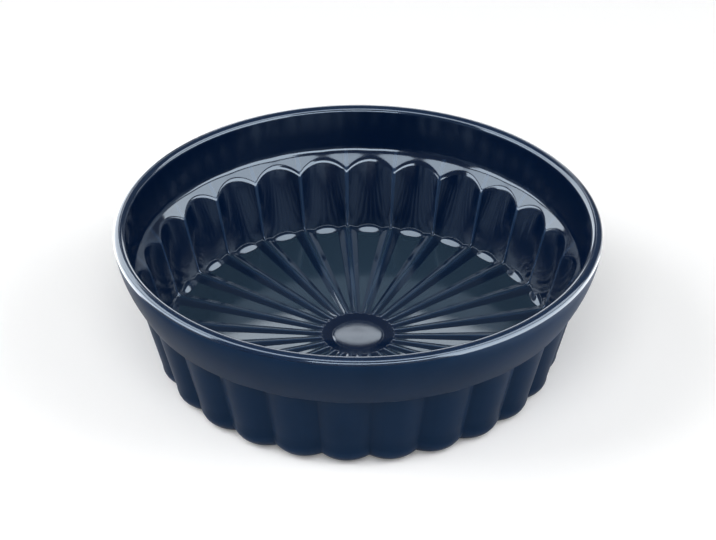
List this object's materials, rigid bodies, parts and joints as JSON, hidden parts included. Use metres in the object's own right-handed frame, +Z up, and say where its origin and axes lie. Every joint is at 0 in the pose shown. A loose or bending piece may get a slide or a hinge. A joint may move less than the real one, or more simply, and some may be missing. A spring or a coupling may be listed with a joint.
{
  "type": "charlotte mould",
  "caption": "Round fluted baking mould with a plain collar, a rounded lip and a ribbed floor, for charlottes, flans and moulded cakes.",
  "frame": {"origin": "on the axis, on the plane that the base rests on", "axes": "+Z up along the axis, out of the open top; -Y through the middle of the flute at the front"},
  "size_m": [0.255, 0.255, 0.08],
  "materials": {
    "navy_glaze": "glossy dark navy glaze"
  },
  "bodies": {
    "root": {"mould_body": "navy_glaze"}
  },
  "joints": []
}
